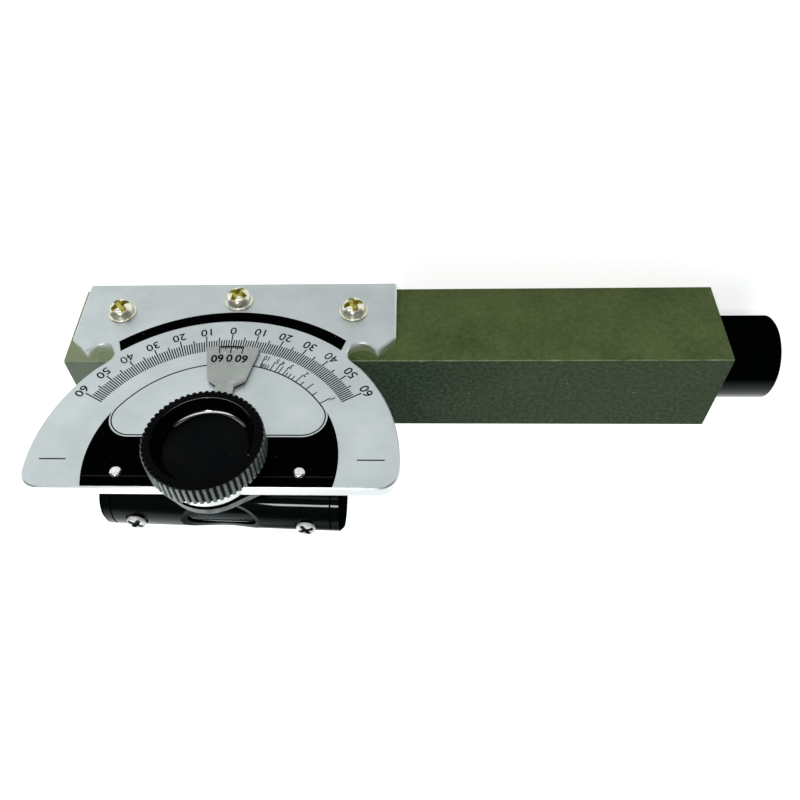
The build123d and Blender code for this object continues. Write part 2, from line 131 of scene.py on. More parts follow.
def slab(inner, outer, low, high, loop=False):
    # Formula: two curves of as many points, with four corners at each step: each curve low and high
    inner, outer = np.asarray(inner), np.asarray(outer)
    steps = len(inner)
    corners = np.stack([
        np.column_stack([inner, np.full(steps, low)]),
        np.column_stack([inner, np.full(steps, high)]),
        np.column_stack([outer, np.full(steps, high)]),
        np.column_stack([outer, np.full(steps, low)]),
    ], axis=1)
    faces = gridFaces(steps, 4, closeRows=loop, closeColumns=True).tolist()
    if not loop:
        faces += [[0, 1, 2, 3], [4 * steps - 1, 4 * steps - 2, 4 * steps - 3, 4 * steps - 4]]
    return corners.reshape(-1, 3), faces


def join(parts):
    # Formula: the indices in each part's faces count on from the points of the parts before it
    points, faces, count = [], [], 0
    for partPoints, partFaces in parts:
        points.append(np.asarray(partPoints))
        faces += [[int(index) + count for index in face] for face in partFaces]
        count += len(partPoints)
    return np.concatenate(points), faces


def fromDown(angle, radius):
    # Formula: (-r sin a, -r cos a), an angle from straight down, positive towards the eyepiece
    angle = np.radians(angle)
    return np.stack([-radius * np.sin(angle), -radius * np.cos(angle)], axis=-1)


# Materials

def feed(tree, socket, value):
    # A socket takes a link from another node, or a constant
    if isinstance(value, bpy.types.NodeSocket):
        tree.links.new(value, socket)
    else:
        socket.default_value = value


def addNode(tree, kind, inputs=None, **settings):
    node = tree.nodes.new("ShaderNode" + kind)
    for name, value in settings.items():
        setattr(node, name, value)
    for name, value in (inputs or {}).items():
        feed(tree, node.inputs[name], value)
    return node


def startMaterial(name):
    material = bpy.data.materials.new(name)
    material.use_nodes = True
    tree = material.node_tree
    tree.nodes.clear()
    place = addNode(tree, "TexCoord").outputs["Object"]
    return material, tree, place


def endMaterial(material, tree, **sockets):
    # Short names for the shader's sockets
    names = {
        "colour": "Base Color", "metallic": "Metallic", "roughness": "Roughness", "ior": "IOR",
        "specular": "Specular IOR Level", "coat": "Coat Weight", "coatRoughness": "Coat Roughness",
        "transmission": "Transmission Weight", "normal": "Normal",
    }
    shader = addNode(tree, "BsdfPrincipled", {names[key]: value for key, value in sockets.items()})
    addNode(tree, "OutputMaterial", {"Surface": shader.outputs["BSDF"]})
    return material


def noise(tree, place, size, detail=3.0, roughness=0.55):
    # size is the width of one blotch in mm
    return addNode(
        tree, "TexNoise",
        {"Vector": place, "Scale": 1000 / size, "Detail": detail, "Roughness": roughness},
    ).outputs["Fac"]


def ramp(tree, value, low, high, start=0.0, end=1.0):
    # Formula: a straight line from start at low to end at high, flat outside
    return addNode(
        tree, "MapRange",
        {"Value": value, "From Min": low, "From Max": high, "To Min": start, "To Max": end},
    ).outputs["Result"]


def mixed(tree, share, first, second):
    # Two colours, each a hex code or a socket, mixed by a share; the node's colour sockets are 6 and 7
    node = addNode(tree, "Mix", {0: share}, data_type="RGBA")
    for place, value in ((6, first), (7, second)):
        feed(tree, node.inputs[place], linear(value) if isinstance(value, str) else value)
    return node.outputs[2]


def sums(tree, operation, first, second=0.0):
    return addNode(tree, "Math", {0: first, 1: second}, operation=operation).outputs[0]


def vectors(tree, operation, output, *values):
    return addNode(tree, "VectorMath", dict(enumerate(values)), operation=operation).outputs[output]


def facing(tree, axis, eitherWay=True):
    # How far a face looks along an axis: from 0 to 1 either way, or from -1 to 1
    normal = addNode(tree, "TexCoord").outputs["Normal"]
    along = addNode(tree, "SeparateXYZ", {"Vector": normal}).outputs[axis]
    return sums(tree, "ABSOLUTE", along) if eitherWay else along


def bump(tree, height, depth):
    # depth is the height of the relief in mm
    return addNode(tree, "Bump", {"Height": height, "Distance": depth * mm}).outputs["Normal"]


tubeLook = dict(
    colour="#5a693a", dark="#48572e", shadedTop="#38432e", topPlateShadow="#1b2f20", worn="#aab292",
    frontEndLight="#9ea88a", frontEndLightTop="#7b8675", grain=0.4, grainDepth=0.007, blotch=11.0, roughness=0.58,
    topShare=0.97,  # of the half height, where the top's painted shade starts
    wearFrom=0.3, wearTo=0.1, wearWaver=0.25,  # mm in from the edges
    openFrom=-58.0, plateEdge=-33.0, plateShadowWaver=22.0,  # mm along the tube, where the top takes a painted shadow of the plate
    frontLightFrom=19.0, frontLightTo=32.5, frontLightWaver=8.0,  # mm along the tube, where painted light lies at its front end
)


def tubeEnamel():
    # Brass tube, sprayed with olive stoving enamel: low sheen, fine orange peel, edges rubbed bright
    look = tubeLook
    material, tree, place = startMaterial("olive stoving enamel")
    low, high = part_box("sighting_tube")
    axes = addNode(tree, "SeparateXYZ", {"Vector": place}).outputs
    middle = (low[2] + high[2]) / 2
    half = high[2] - middle
    side = sums(tree, "ABSOLUTE", axes["Y"])
    lift = sums(tree, "ABSOLUTE", sums(tree, "SUBTRACT", axes["Z"], middle))
    nearer = sums(tree, "MINIMUM", side, lift)
    rough = noise(tree, place, 2.5)
    waver = sums(tree, "MULTIPLY", sums(tree, "SUBTRACT", rough, 0.5), look["wearWaver"] * mm)
    reach = sums(tree, "ADD", nearer, waver)
    edge = ramp(tree, reach, high[1] - look["wearFrom"] * mm, high[1] - look["wearTo"] * mm, 0.0, 0.95)
    cloud = noise(tree, place, look["blotch"], 5.0)
    paint = mixed(tree, ramp(tree, cloud, 0.35, 0.65), look["dark"], look["colour"])
    # The top face takes a darker green: painted shade for the weaker light it gets
    onTop = ramp(tree, sums(tree, "SUBTRACT", axes["Z"], middle), look["topShare"] * half, half)
    # Painted shadow: the top is darker still beside the plate, where the plate's shadow falls
    along = sums(tree, "ADD", axes["X"], sums(tree, "MULTIPLY", cloud, look["plateShadowWaver"] * mm))
    shift = look["plateShadowWaver"] / 2
    plateShadow = ramp(tree, along, (look["openFrom"] + shift) * mm, (look["plateEdge"] + shift) * mm)
    paint = mixed(tree, onTop, paint, mixed(tree, plateShadow, look["shadedTop"], look["topPlateShadow"]))
    mottle = ramp(tree, noise(tree, place, 0.8, 4.0, 0.7), 0.4, 0.75, 0.0, 0.14)
    paint = mixed(tree, mottle, paint, look["worn"])
    grain = noise(tree, place, look["grain"], 2.0)
    speck = ramp(tree, noise(tree, place, 0.9, 1.0), 0.76, 0.8, 0.0, 0.5)
    paint = mixed(tree, speck, paint, look["worn"])
    # Painted light: the front end is painted paler, for the stronger light that falls there
    along = sums(tree, "ADD", axes["X"], sums(tree, "MULTIPLY", rough, look["frontLightWaver"] * mm))
    frontEndLight = ramp(tree, along, look["frontLightFrom"] * mm, look["frontLightTo"] * mm, 0.0, 0.75)
    paint = mixed(tree, frontEndLight, paint, mixed(tree, onTop, look["frontEndLight"], look["frontEndLightTop"]))
    paint = mixed(tree, edge, paint, look["worn"])
    gloss = ramp(tree, cloud, 0.3, 0.7, look["roughness"] - 0.06, look["roughness"] + 0.08)
    return endMaterial(
        material, tree, colour=paint, roughness=gloss, specular=0.08,
        normal=bump(tree, grain, look["grainDepth"]),
    )


plateLook = dict(
    # edge is a painted highlight: near white for the light the plate's edges catch
    colour="#c0c6c8", cloudy="#b2babb", edge="#fdfefd", grain=0.12, grainDepth=0.004, blotch=9.0,
    roughness=0.42,
)


def plateAluminium():
    # Rolled aluminium sheet, etched and clear anodised: a pale satin face with a very fine grain
    look = plateLook
    material, tree, place = startMaterial("satin anodised aluminium")
    cloud = noise(tree, place, look["blotch"], 6.0, 0.6)
    grain = noise(tree, place, look["grain"], 2.0)
    spread = addNode(tree, "Mapping", {"Vector": place, "Scale": (0.12, 1.0, 1.0)}).outputs["Vector"]
    rolled = noise(tree, spread, 0.5, 3.0)
    tone = sums(
        tree, "ADD", ramp(tree, cloud, 0.3, 0.7, 0.0, 0.75), ramp(tree, rolled, 0.3, 0.7, 0.0, 0.25)
    )
    colour = mixed(tree, tone, look["cloudy"], look["colour"])
    # Painted highlight: faces that don't look out of the plate are painted near white, for the light
    # they catch
    colour = mixed(tree, ramp(tree, facing(tree, "Y"), 0.5, 0.9), look["edge"], colour)
    gloss = ramp(tree, cloud, 0.3, 0.7, look["roughness"] + 0.06, look["roughness"] - 0.04)
    relief = sums(tree, "ADD", grain, sums(tree, "MULTIPLY", rolled, 0.35))
    return endMaterial(
        material, tree, colour=colour, metallic=1.0, roughness=gloss,
        normal=bump(tree, relief, look["grainDepth"]),
    )


def ink():
    # Screen printed black ink, baked on: flat black with a slight sheen
    material, tree, place = startMaterial("screen printed ink")
    film = noise(tree, place, 3.0, 4.0)
    colour = mixed(tree, ramp(tree, film, 0.3, 0.7), "#020302", "#030404")
    specks = ramp(tree, noise(tree, place, 0.45, 1.0), 0.8, 0.84, 0.0, 0.7)
    colour = mixed(tree, specks, colour, "#7d8484")
    gloss = ramp(tree, film, 0.3, 0.7, 0.32, 0.44)
    return endMaterial(material, tree, colour=colour, roughness=gloss, specular=0.0)


def seamPrint():
    # A second pass of the ink, which shows as a faint grey line where it ends
    material, tree, place = startMaterial("edge of the second ink pass")
    film = noise(tree, place, 1.5, 3.0)
    colour = mixed(tree, ramp(tree, film, 0.35, 0.65), "#1c1f1f", "#2f3333")
    return endMaterial(material, tree, colour=colour, roughness=0.45, specular=0.1)


def finePrint():
    # The same ink in thin lines, where the aluminium shines through a little
    material, tree, place = startMaterial("screen printed ink, thin")
    film = noise(tree, place, 0.4, 3.0)
    colour = mixed(tree, ramp(tree, film, 0.35, 0.65), "#080909", "#161818")
    return endMaterial(material, tree, colour=colour, roughness=0.5, specular=0.05)


def plated(name, colour, dark, roughness, depth=0.003, metallic=1.0):
    # Turned or pressed metal, bare or with a thin plated coat: bright, slightly uneven, darker in
    # blotches; a coat with a milky bloom is less metallic
    material, tree, place = startMaterial(name)
    cloud = noise(tree, place, 1.6, 4.0)
    shade = mixed(tree, ramp(tree, cloud, 0.35, 0.7), colour, dark)
    gloss = ramp(tree, cloud, 0.3, 0.7, roughness - 0.05, roughness + 0.08)
    relief = noise(tree, place, 0.25, 2.0)
    return endMaterial(
        material, tree, colour=shade, metallic=metallic, roughness=gloss,
        normal=bump(tree, relief, depth),
    )


def armNickel():
    # Pressed brass sheet with dull nickel plate: grey satin, rubbed and spotted in use
    material, tree, place = startMaterial("dull nickel plate")
    cloud = noise(tree, place, 4.0, 5.0)
    spots = ramp(tree, noise(tree, place, 0.8, 2.0), 0.62, 0.72, 0.0, 0.45)
    shade = mixed(tree, ramp(tree, cloud, 0.3, 0.7), "#8f9490", "#a6aaa6")
    fine = ramp(tree, noise(tree, place, 0.3, 3.0, 0.7), 0.35, 0.65, 0.0, 0.35)
    shade = mixed(tree, fine, shade, "#7f837f")
    shade = mixed(tree, spots, shade, "#c8ccc9")
    face = ramp(tree, facing(tree, "Y"), 0.3, 0.9)
    shade = mixed(tree, face, "#fbfbf8", shade)  # the cut edge is painted near white and less metallic, a painted highlight
    gloss = ramp(tree, cloud, 0.3, 0.7, 0.36, 0.46)
    relief = noise(tree, place, 0.2, 3.0)
    return endMaterial(
        material, tree, colour=shade, metallic=ramp(tree, face, 0.0, 1.0, 0.2, 1.0), roughness=gloss,
        normal=bump(tree, relief, 0.004),
    )


def blackEnamel(name, colour, roughness, specular, dust=0.0, wave=0.0):
    # Black paint or moulded black plastic, with a little dust where it is handled
    material, tree, place = startMaterial(name)
    cloud = noise(tree, place, 6.0, 4.0)
    shade = mixed(tree, ramp(tree, cloud, 0.35, 0.65), colour, "#040505")
    specks = ramp(tree, noise(tree, place, 0.5, 1.0), 0.79, 0.83, 0.0, dust)
    shade = mixed(tree, specks, shade, "#8b9196")
    gloss = ramp(tree, cloud, 0.3, 0.7, roughness - 0.03, roughness + 0.05)
    sockets = dict(colour=shade, roughness=gloss, specular=specular)
    if wave:
        sockets["normal"] = bump(tree, noise(tree, place, 1.2, 2.0), wave)
    return endMaterial(material, tree, **sockets)


levelLook = dict(
    colour="#050a0a", dark="#030707", paintedLight="#6f7776", sheen=0.45,
    windowEnd=11.0, paintedLightEnd=12.0,  # mm either way from the middle
    sheenFrom=-15.0, sheenTo=20.0,  # mm ahead of the middle
)


def levelEnamel():
    # Gloss black stoving enamel on the level's brass tube: its sheen is on the faces that look up and
    # back, most towards the front end, with none on the ends; the windows' cut edges are painted grey,
    # a painted highlight
    look = levelLook
    material, tree, place = startMaterial("gloss black stoving enamel")
    low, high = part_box("level_housing")
    cloud = noise(tree, place, 6.0, 4.0)
    middle = addNode(
        tree, "Mapping", {"Vector": place, "Location": [-(a + b) / 2 for a, b in zip(low, high)]}
    ).outputs["Vector"]
    across = vectors(tree, "MULTIPLY", "Vector", middle, (0.0, 1.0, 1.0))
    outward = vectors(tree, "NORMALIZE", "Vector", across)
    normal = addNode(tree, "TexCoord").outputs["Normal"]
    roundness = vectors(tree, "DOT_PRODUCT", "Value", outward, normal)  # 1 on the tube's own round
    along = addNode(tree, "SeparateXYZ", {"Vector": middle}).outputs["X"]
    # Painted highlight: the windows' cut edges are painted grey for the light they catch
    inside = ramp(
        tree, sums(tree, "ABSOLUTE", along), look["windowEnd"] * mm, look["paintedLightEnd"] * mm, 0.8, 0.0
    )
    cut = ramp(tree, sums(tree, "ABSOLUTE", roundness), 0.6, 0.93, 1.0, 0.0)
    paintedLight = sums(tree, "MULTIPLY", inside, cut)
    shade = mixed(tree, ramp(tree, cloud, 0.35, 0.65), look["dark"], look["colour"])
    shade = mixed(tree, paintedLight, shade, look["paintedLight"])
    ends = ramp(tree, facing(tree, "X"), 0.1, 0.5, 1.0, 0.0)
    back = facing(tree, "Y", False)
    up = sums(tree, "MULTIPLY", ends, ramp(tree, back, -0.6, 0.4))
    ahead = ramp(tree, along, look["sheenFrom"] * mm, look["sheenTo"] * mm, 0.15, 1.0)
    sheen = sums(tree, "MULTIPLY", sums(tree, "MULTIPLY", up, ahead), look["sheen"])
    wax = sums(tree, "MULTIPLY", ends, ramp(tree, back, -0.66, -0.5, 0.36, 0.05))
    return endMaterial(
        material, tree, colour=shade, roughness=ramp(tree, cloud, 0.3, 0.7, 0.24, 0.32), specular=sheen,
        coat=wax, coatRoughness=0.04,
    )


def wornBracket():
    # Pressed steel with gloss black enamel; its cut edges are painted grey, a painted highlight
    material, tree, place = startMaterial("black enamel on pressed steel")
    film = noise(tree, place, 1.5, 4.0)
    # Painted highlight: the edges that don't face out are painted grey for the light they catch
    edges = ramp(tree, facing(tree, "Y"), 0.4, 0.9, 0.75, 0.0)
    litEdge = mixed(tree, ramp(tree, film, 0.3, 0.7), "#6f7674", "#a9afad")
    shade = mixed(tree, edges, "#030404", litEdge)
    gloss = ramp(tree, film, 0.3, 0.7, 0.3, 0.45)
    return endMaterial(material, tree, colour=shade, roughness=gloss, specular=0.2)


def satinBlack():
    # The eyepiece's black stoving enamel, with a soft sheen where it looks up and back
    material, tree, place = startMaterial("satin black stoving enamel")
    cloud = noise(tree, place, 5.0, 4.0)
    shade = mixed(tree, ramp(tree, cloud, 0.35, 0.65), "#010302", "#020504")
    sheen = ramp(tree, facing(tree, "Y", False), -0.25, 0.6, 0.0, 0.6)
    gloss = ramp(tree, cloud, 0.3, 0.7, 0.18, 0.24)
    return endMaterial(
        material, tree, colour=shade, roughness=gloss, specular=sheen,
        normal=bump(tree, noise(tree, place, 1.2, 2.0), 0.002),
    )


def fromPivot(tree, place):
    # Formula: the distance from the pivot's axis, the root of x squared and z squared, and the height
    # above the axis
    centre = addNode(
        tree, "Mapping", {"Vector": place, "Location": (-pivot["x"], 0.0, -pivot["z"])}
    ).outputs["Vector"]
    flat = vectors(tree, "MULTIPLY", "Vector", centre, (1.0, 0.0, 1.0))
    away = vectors(tree, "LENGTH", "Value", flat)
    return away, addNode(tree, "SeparateXYZ", {"Vector": centre}).outputs["Z"]


def turnedPlastic():
    # The knob's cap: black plastic faced in a lathe, so its sheen runs in rings round the middle
    material, tree, place = startMaterial("faced black plastic")
    away = fromPivot(tree, place)[0]
    ringWidth = 0.22  # mm
    rings = addNode(
        tree, "TexNoise", {"W": away, "Scale": 1000 / ringWidth, "Detail": 2.0}, noise_dimensions="1D"
    )
    specks = ramp(tree, noise(tree, place, 0.45, 1.0), 0.8, 0.84, 0.0, 0.8)
    cloud = noise(tree, place, 7.0, 3.0)
    shade = mixed(tree, ramp(tree, cloud, 0.35, 0.65), "#030508", "#0b0d0c")
    shade = mixed(tree, specks, shade, "#7a8088")
    return endMaterial(
        material, tree, colour=shade, roughness=0.3, specular=0.02,
        normal=bump(tree, rings.outputs["Fac"], 0.006),
    )


knobLook = dict(
    crestFrom=0.3, crestTo=0.08, sheenFrom=0.35, sheenTo=0.05,  # mm in from the rim
    waxFrom=-4.2, waxTo=-7.4,  # mm up from the pivot: the dish's edges shine on their lower side
    dishFrom=8.0, dishTo=8.4,  # mm from the pivot's axis, between the floor's edge and the mouth's
)


def rubbedPlastic():
    # The knob's ridges: the same plastic, with a painted highlight in grey on the crests and painted
    # shade in black down in the grooves
    look = knobLook
    material, tree, place = startMaterial("rubbed black plastic")
    film = noise(tree, place, 0.8, 4.0)
    litCrest = mixed(tree, ramp(tree, film, 0.3, 0.7), "#3f4746", "#737d7b")
    low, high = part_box("knob")
    outer = (high[0] - low[0]) / 2
    away = fromPivot(tree, place)[0]
    onCrest = ramp(tree, away, outer - look["crestFrom"] * mm, outer - look["crestTo"] * mm)
    # Painted highlight on the crests, painted shade in the grooves
    shade = mixed(tree, onCrest, "#040606", litCrest)
    gloss = ramp(tree, film, 0.3, 0.7, 0.26, 0.38)
    sheen = ramp(tree, away, outer - look["sheenFrom"] * mm, outer - look["sheenTo"] * mm, 0.05, 0.7)
    return endMaterial(material, tree, colour=shade, roughness=gloss, specular=sheen)


def cutPlastic():
    # The edges of the knob's dish, rubbed bright on their lower side, with a thick film of wax
    look = knobLook
    material, tree, place = startMaterial("cut edge of black plastic")
    film = noise(tree, place, 0.5, 2.0)
    gloss = ramp(tree, film, 0.3, 0.7, 0.08, 0.14)
    shade = mixed(tree, film, "#020303", "#040505")
    away, height = fromPivot(tree, place)
    lower = ramp(tree, height, look["waxFrom"] * mm, look["waxTo"] * mm)
    inner = ramp(tree, away, look["dishFrom"] * mm, look["dishTo"] * mm, 1.0, 0.35)
    wax = sums(tree, "MULTIPLY", lower, inner)
    return endMaterial(material, tree, colour=shade, roughness=gloss, specular=wax, ior=2.4)


def mirrorSilver():
    # Glass silvered on its back: a clean bright mirror
    material, tree, place = startMaterial("silvered glass")
    haze = noise(tree, place, 5.0)
    return endMaterial(
        material, tree, colour=mixed(tree, haze, "#e4e8e8", "#f2f4f4"), metallic=1.0, roughness=0.04
    )


def clearGlass(name, tint, roughness=0.02, ior=1.5):
    # Drawn glass tube or polished lens: clear, with the tint of its thickness
    material, tree, place = startMaterial(name)
    streaks = ramp(tree, noise(tree, place, 3.0), 0.3, 0.7, roughness, roughness + 0.03)
    return endMaterial(
        material, tree, colour=linear(tint), roughness=streaks, transmission=1.0, ior=ior, specular=0.3
    )


def settingPaste():
    # Dark setting compound that holds the vial: dull and a little lumpy
    material, tree, place = startMaterial("setting compound")
    lumps = noise(tree, place, 0.9, 3.0)
    return endMaterial(
        material, tree, colour=mixed(tree, lumps, "#17191a", "#26292a"), roughness=0.75,
        normal=bump(tree, lumps, 0.05),
    )


looks = dict(
    tube=tubeEnamel(),
    plate=plateAluminium(),
    ink=ink(),
    seam=seamPrint(),
    finePrint=finePrint(),
    zinc=plated("yellow zinc plate", "#f2f0e2", "#d4d0b2", 0.26, depth=0.002, metallic=0.85),
    slots=plated("yellow zinc plate in the slots", "#c4bd62", "#77732f", 0.35),  # thicker passivation
    nickel=plated("bright nickel plate", "#dededa", "#b0b0aa", 0.18, depth=0.001),
    satinNickel=plated("satin nickel plate", "#fbfbf8", "#dadad4", 0.4, metallic=0.35),
    # dark nickel in the slots, and painted shade on the neck under the adjusting screws' heads
    tarnishAndShade=plated("nickel plate in the slots", "#4c4a44", "#26241f", 0.35),
    arm=armNickel(),
    gloss=levelEnamel(),
    bracket=wornBracket(),
    eyepiece=satinBlack(),
    dull=blackEnamel("dull black inside paint", "#0a0a0a", 0.8, 0.1, wave=0.02),
    knob=blackEnamel("moulded black plastic", "#030303", 0.3, 0.02, dust=0.6),
    ridges=rubbedPlastic(),
    cut=cutPlastic(),
    cap=turnedPlastic(),
    brass=plated("turned brass", "#c9a45a", "#96753c", 0.3),
    mirror=mirrorSilver(),
    lens=clearGlass("polished lens glass", "#f4f8f6"),
    vial=clearGlass("drawn glass tube", "#2c4a48", 0.12, 1.2),  # a low index keeps the lamps' glare off
    spirit=clearGlass("tinted spirit", "#061614", 0.05, 1.2),
    paste=settingPaste(),
)

nodeLooks = dict(
    sighting_tube="tube", scale_plate="plate", pivot_bush="brass", objective_frame="dull",
    cross_wire="nickel", mirror="mirror", mirror_block="dull", mirror_screw="zinc",
    draw_sleeve="dull", draw_tube="dull", eyepiece_head="eyepiece", eye_disc="dull",
    lens_cell="dull", bubble_lens="lens", pivot_shaft="nickel", spring_washer="brass",
    index_arm="arm", knob_washer="brass", knob_cap="cap", knob_screw="nickel",
    level_bracket="bracket", level_housing="gloss", front_end_cap="gloss", rear_end_cap="gloss",
    level_vial="vial", level_spirit="spirit", front_vial_seat="paste", rear_vial_seat="paste",
)
for node, look in nodeLooks.items():
    nodes[node].material_slots[0].material = looks[look]
print("materials done")


# The print on the dial, a film of ink that stands a hair above the plate's face, in mm

film = dict(low=0.003, high=0.022)
seam = dict(low=0.02, high=0.028)

dial = dict(
    span=60,  # degrees each way
    tickStart=25.4, oneTick=28.0, fiveTick=28.7, tenTick=29.4, tickWidth=0.235,
    numberRadius=30.4, numberHeight=1.85,
    bandInner=32.95, bandOuter=35.45, bandSpanInner=40.2, bandSpanOuter=38.6,
    markFrom=25.3, markTo=30.0, markWidth=0.24, bandSteps=96,
)

window = dict(radius=21.85, fillet=4.0, drop=5.2, line=0.24, gap=0.4, cornerSteps=24, arcSteps=90)
field = dict(
    radius=22.1, edge=5.53, seam=3.5, seamWidth=0.12, seamShort=0.3, cornerSteps=40, lineSteps=30,
)

gradient = dict(
    zero=10.75,  # degrees from straight down, where a level slope would stand
    long=(10, 5, 4, 3, 2, 1), middle=(3.5, 1.5), short=(9, 8, 7, 6, 2.75, 2.5, 2.25, 1.75, 1.25),
    longEnd=24.1, middleEnd=23.7, shortEnd=22.9, tickWidth=0.19, numberRadius=24.35, numberHeight=1.15,
    squeeze=0.85, numberLead=0.9,  # degrees past the tick
)

vernier = dict(
    radius=25.38, parts=6, span=5.17, longEnd=23.55, middleEnd=24.5, shortEnd=24.75, tickWidth=0.23,
    lineWidth=0.32, lineSteps=24, numberRadius=22.25, numberHeight=1.95, numberAngle=5.9, squeeze=0.95,
    bold=0.028, middleEvery=3,
    shift=-0.45,  # degrees, how far the print stands beside the arm's middle line
)


def addPrint(name, shape, look="finePrint", onArm=False):
    # A film of ink on the plate or the arm; shape is its points in mm and its faces
    points, faces = shape
    body = "level_arm" if onArm else "frame"
    addPiece(name, toWorld(points, onArm), faces, looks[look], body, smooth=False)


def ticks(angles, starts, ends, width, low, high):
    # Formula: each tick is a block along its own radius: its eight corners are
    # (radius start or end, half a width either side, low or high)
    angles, starts, ends = np.broadcast_arrays(*map(np.asarray, (angles, starts, ends)))
    corners = []
    for radius in (starts, ends):
        for side in (-0.5, 0.5):
            middle = fromDown(angles, radius)
            across = np.stack([np.cos(np.radians(angles)), -np.sin(np.radians(angles))], axis=-1)
            for height in (low, high):
                flat = middle + across * side * width
                corners.append(np.column_stack([flat, np.full(len(flat), height)]))
    points = np.stack(corners, axis=1)
    block = np.array([
        [0, 1, 3, 2], [4, 6, 7, 5], [0, 4, 5, 1], [2, 3, 7, 6], [0, 2, 6, 4], [1, 5, 7, 3],
    ])
    faces = block[None] + 8 * np.arange(len(points))[:, None, None]
    return points.reshape(-1, 3), faces.reshape(-1, 4)


def number(text, height, bold):
    # A number as a thin solid, centred on its middle, with its top towards +y, in mm;
    # bold is how far its outline stands outside the font's, as a share of the font's size
    curve = bpy.data.curves.new("number", "FONT")
    curve.body = text
    curve.extrude = 0.5
    curve.offset = 0.0 if "4" in text else bold  # a 4 with a moved outline comes out filled
    curve.resolution_u = 3
    writing = bpy.data.objects.new("number", curve)
    mesh = bpy.data.meshes.new_from_object(writing)
    points = np.empty(len(mesh.vertices) * 3)
    mesh.vertices.foreach_get("co", points)
    points = points.reshape(-1, 3)
    faces = [list(face.vertices) for face in mesh.polygons]
    low, high = points.min(axis=0), points.max(axis=0)
    points = (points - (low + high) / 2) / (high[1] - low[1]) * height
    points[:, 2] = np.where(points[:, 2] > 0, film["high"], film["low"])
    bpy.data.objects.remove(writing)
    bpy.data.meshes.remove(mesh)
    bpy.data.curves.remove(curve)
    return points, faces


def numberAt(text, angle, radius, height, squeeze=1.05, lift=0.0, bold=0.01):
    # Formula: turned by the angle from straight down, so that its top points at the pivot
    points, faces = number(text, height, bold)
    turn = math.radians(angle)
    x, y = points[:, 0] * squeeze, points[:, 1]
    centre = fromDown(angle, radius)
    placed = np.column_stack([
        centre[0] + x * math.cos(turn) + y * math.sin(turn),
        centre[1] - x * math.sin(turn) + y * math.cos(turn),
        points[:, 2] + lift,
    ])
    return placed, faces


def buildDial():
    # Formula: a tick at each degree, longer at fives and tens, a number at each ten, and under them a
    # band between two arcs round the pivot
    angles = np.arange(-dial["span"], dial["span"] + 1)
    ends = np.where(
        angles % 10 == 0, dial["tenTick"], np.where(angles % 5 == 0, dial["fiveTick"], dial["oneTick"])
    )
    addPrint("dial_ticks", ticks(angles, dial["tickStart"], ends, dial["tickWidth"], **film))
    addPrint("dial_numbers", join([
        numberAt(str(abs(angle)), angle, dial["numberRadius"], dial["numberHeight"])
        for angle in range(-dial["span"], dial["span"] + 1, 10)
    ]))

    share = np.linspace(-1, 1, dial["bandSteps"])
    inner = fromDown(share * dial["bandSpanInner"], dial["bandInner"])
    outer = fromDown(share * dial["bandSpanOuter"], dial["bandOuter"])
    addPrint("dial_band", slab(inner, outer, **film), "ink")

    half = dial["markWidth"] / 2
    marks = []
    for side in (-1, 1):
        ends = np.array([side * dial["markFrom"], side * dial["markTo"]])
        line = np.column_stack([ends, np.zeros(2)])
        marks.append(slab(line - [0, half], line + [0, half], **film))
    addPrint("level_marks", join(marks))


def filletArc(radius, corner, drop, steps):
    # Formula: a fillet that touches the line y = -drop and, from inside, a circle round the pivot
    away = radius - corner
    centre = np.array([math.sqrt(away ** 2 - (drop + corner) ** 2), -(drop + corner)])
    turn = math.atan2(centre[1], centre[0])
    return centre, np.linspace(math.pi / 2, turn, steps)


